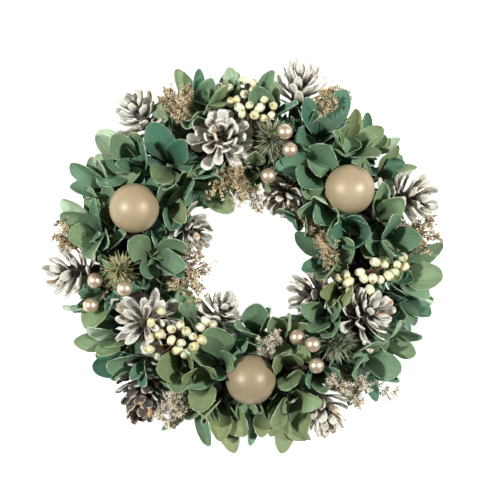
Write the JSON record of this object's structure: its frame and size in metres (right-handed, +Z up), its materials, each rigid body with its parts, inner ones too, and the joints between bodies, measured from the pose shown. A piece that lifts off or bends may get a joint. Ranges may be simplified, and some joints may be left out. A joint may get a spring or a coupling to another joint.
{
  "type": "pinecone wreath",
  "caption": "Round wreath lying face up: a twisted vine ring with pinecones, satin balls, stiff green leaf cups, wax berries, pearl picks, fir heads and dried sprays.",
  "frame": {"origin": "on the resting surface, below the middle of the outline's box", "axes": "+Z up out of the decorated face, along the ring's axis; +Y towards the wreath's top as it is shown, +X to its right"},
  "size_m": [0.3184, 0.3154, 0.0736],
  "materials": {
    "vine_twigs": "rough bark, matt",
    "ball_paint": "satin champagne paint with a few glitter grains",
    "pinecone_scale": "woody scales, whitewashed tips over dark brown",
    "pearl_bead": "pearl lacquer on a thin brown wire",
    "wax_berry": "waxy cream with ochre tips",
    "fir_needle": "matt needle foil",
    "dried_flower": "papery, matt",
    "leaf": "matt leaf with a fine grain and pale edges"
  },
  "bodies": {
    "root": {"vine_ring": "vine_twigs", "ball_left": "ball_paint", "ball_right": "ball_paint", "ball_bottom": "ball_paint", "pinecone_01": "pinecone_scale", "pinecone_02": "pinecone_scale", "pinecone_03": "pinecone_scale", "pinecone_04": "pinecone_scale", "pinecone_05": "pinecone_scale", "pinecone_06": "pinecone_scale", "pinecone_07": "pinecone_scale", "pinecone_08": "pinecone_scale", "pinecone_09": "pinecone_scale", "pinecone_10": "pinecone_scale", "pinecone_11": "pinecone_scale", "pinecone_12": "pinecone_scale", "pinecone_13": "pinecone_scale", "pearl_pick_top": "pearl_bead", "pearl_pick_left": "pearl_bead", "pearl_pick_right": "pearl_bead", "berry_spray_top": "wax_berry", "berry_spray_left": "wax_berry", "berry_spray_right": "wax_berry", "fir_top": "fir_needle", "fir_left": "fir_needle", "fir_right": "fir_needle", "leaf_cups_01": "leaf", "leaf_cups_02": "leaf", "leaf_cups_03": "leaf", "leaf_cups_04": "leaf", "leaf_cups_05": "leaf", "leaf_cups_06": "leaf", "leaf_cups_07": "leaf", "leaf_cups_08": "leaf", "leaf_cups_09": "leaf", "leaf_cups_10": "leaf", "leaf_cups_11": "leaf", "leaf_cups_12": "leaf", "leaf_cups_13": "leaf", "leaf_cups_14": "leaf", "leaf_cups_15": "leaf", "leaf_cups_16": "leaf", "leaf_cups_17": "leaf", "leaf_cups_18": "leaf", "leaf_cups_19": "leaf", "leaf_cups_20": "leaf", "leaf_cups_21": "leaf", "leaf_cups_22": "leaf", "leaf_cups_23": "leaf", "dried_spray_01": "dried_flower", "dried_spray_02": "dried_flower", "dried_spray_03": "dried_flower", "dried_spray_04": "dried_flower", "dried_spray_05": "dried_flower", "dried_spray_06": "dried_flower", "dried_spray_07": "dried_flower", "dried_spray_08": "dried_flower", "dried_spray_09": "dried_flower", "dried_spray_10": "dried_flower"}
  },
  "joints": []
}
